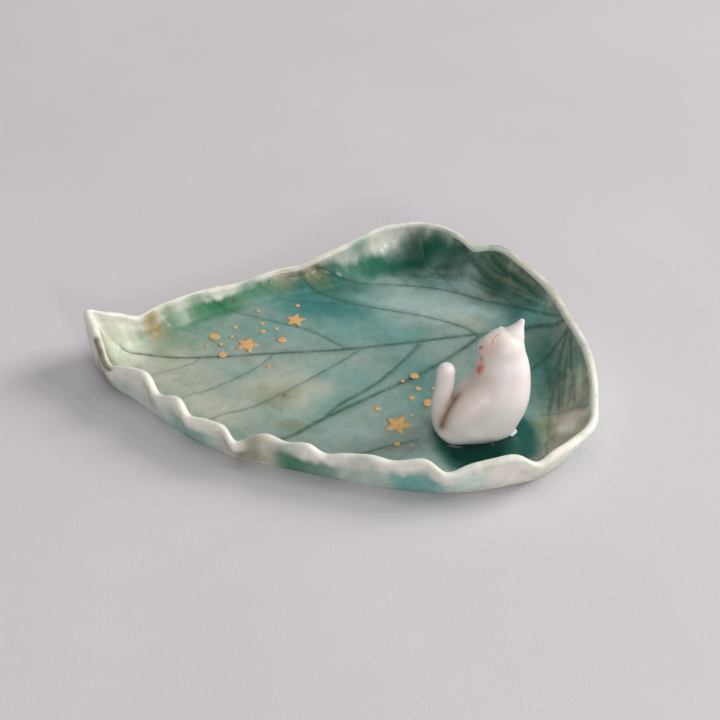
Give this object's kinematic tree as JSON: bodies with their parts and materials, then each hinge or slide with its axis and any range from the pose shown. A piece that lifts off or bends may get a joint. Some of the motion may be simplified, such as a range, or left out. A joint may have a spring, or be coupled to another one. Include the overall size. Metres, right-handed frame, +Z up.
{
  "type": "ring dish",
  "caption": "Leaf-shaped porcelain ring dish with a curled toothed rim, a small seated cat whose upright tail holds rings, and gold stars and dots.",
  "frame": {"origin": "on the table under the middle of the dish, at the bottom centre of its bounding box", "axes": "+X from the leaf's tip to its stalk end, +Y from the edge beside the cat to the opposite edge, +Z up from the table"},
  "size_m": [0.1321, 0.098, 0.0308],
  "materials": {
    "leaf_glaze": "glossy",
    "pool_glaze": "glossy",
    "cat_glaze": "satin",
    "gold_lustre": "satin",
    "nose_glaze": "satin"
  },
  "bodies": {
    "root": {"leaf_dish": "leaf_glaze", "glaze_pool": "pool_glaze", "cat_body": "cat_glaze", "cat_head": "cat_glaze", "cat_left_ear": "cat_glaze", "cat_right_ear": "cat_glaze", "cat_tail": "cat_glaze", "cat_left_eye": "gold_lustre", "cat_right_eye": "gold_lustre", "cat_nose": "nose_glaze", "front_star": "gold_lustre", "tip_star": "gold_lustre", "rear_star": "gold_lustre", "front_dots": "gold_lustre", "tip_dots": "gold_lustre"}
  },
  "joints": []
}
